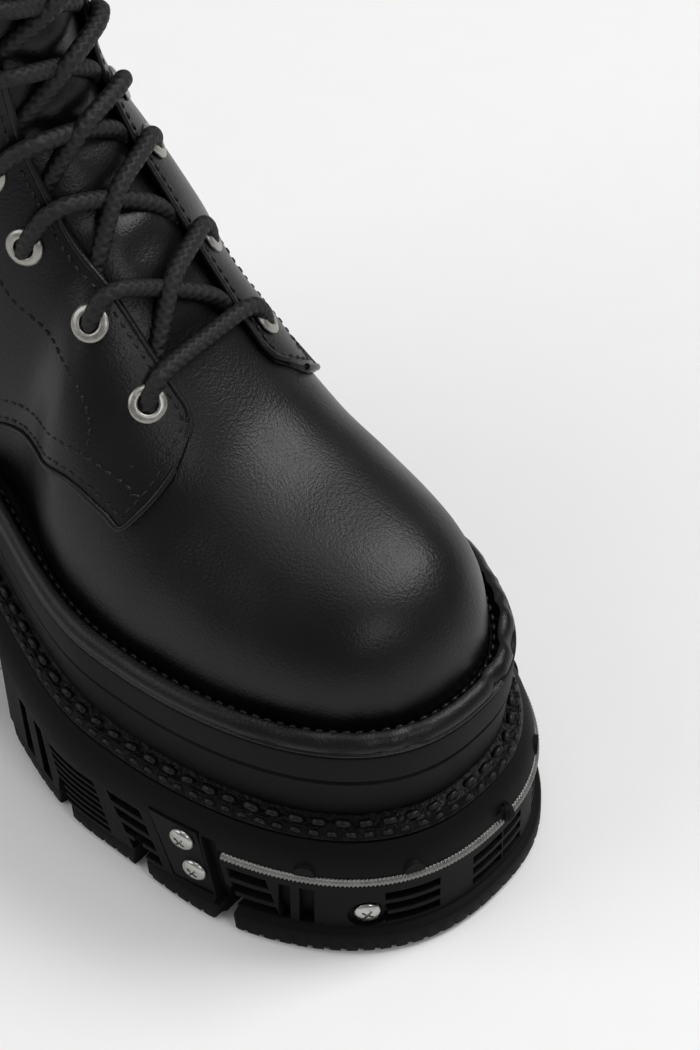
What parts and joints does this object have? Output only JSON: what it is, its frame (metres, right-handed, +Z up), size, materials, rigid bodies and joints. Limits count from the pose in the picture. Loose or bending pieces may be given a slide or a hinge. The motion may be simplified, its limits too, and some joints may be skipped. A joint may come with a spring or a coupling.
{
  "type": "platform_boot",
  "caption": "Black leather lace-up platform boot with a tall lugged rubber sole, round toe, nickel eyelets and waxed black laces",
  "frame": {"origin": "on the floor, under the middle of the boot's length and width", "axes": "+X to the toe, +Y to the wearer's left, +Z up"},
  "size_m": [0.29, 0.12, 0.3139],
  "materials": {
    "leather": "smooth black leather with a low sheen",
    "rubber": "matt black rubber",
    "steel": "bright plated steel",
    "nickel": "antique nickel",
    "cord": "round braided waxed cord"
  },
  "bodies": {
    "root": {"eyelet_inner_1": "nickel", "eyelet_inner_2": "nickel", "eyelet_inner_3": "nickel", "eyelet_inner_4": "nickel", "eyelet_inner_5": "nickel", "eyelet_inner_6": "nickel", "eyelet_inner_7": "nickel", "eyelet_inner_8": "nickel", "eyelet_outer_1": "nickel", "eyelet_outer_2": "nickel", "eyelet_outer_3": "nickel", "eyelet_outer_4": "nickel", "eyelet_outer_5": "nickel", "eyelet_outer_6": "nickel", "eyelet_outer_7": "nickel", "eyelet_outer_8": "nickel", "insole": "leather", "lace_bar": "cord", "lace_cross_1": "cord", "lace_cross_2": "cord", "lace_cross_3": "cord", "lace_cross_4": "cord", "lace_cross_5": "cord", "lace_cross_6": "cord", "lace_cross_7": "cord", "midsole_lower": "rubber", "midsole_upper": "rubber", "outsole": "rubber", "quarter_inner": "leather", "quarter_outer": "leather", "screw_lower_inner": "steel", "screw_lower_outer": "steel", "screw_toe_inner": "steel", "screw_toe_outer": "steel", "screw_upper_inner": "steel", "screw_upper_outer": "steel", "side_plate_inner": "rubber", "side_plate_outer": "rubber", "stitch_ledge": "rubber", "toe_spring": "steel", "tongue": "leather", "upper": "leather", "waist_tube": "steel", "welt": "leather"}
  },
  "joints": []
}
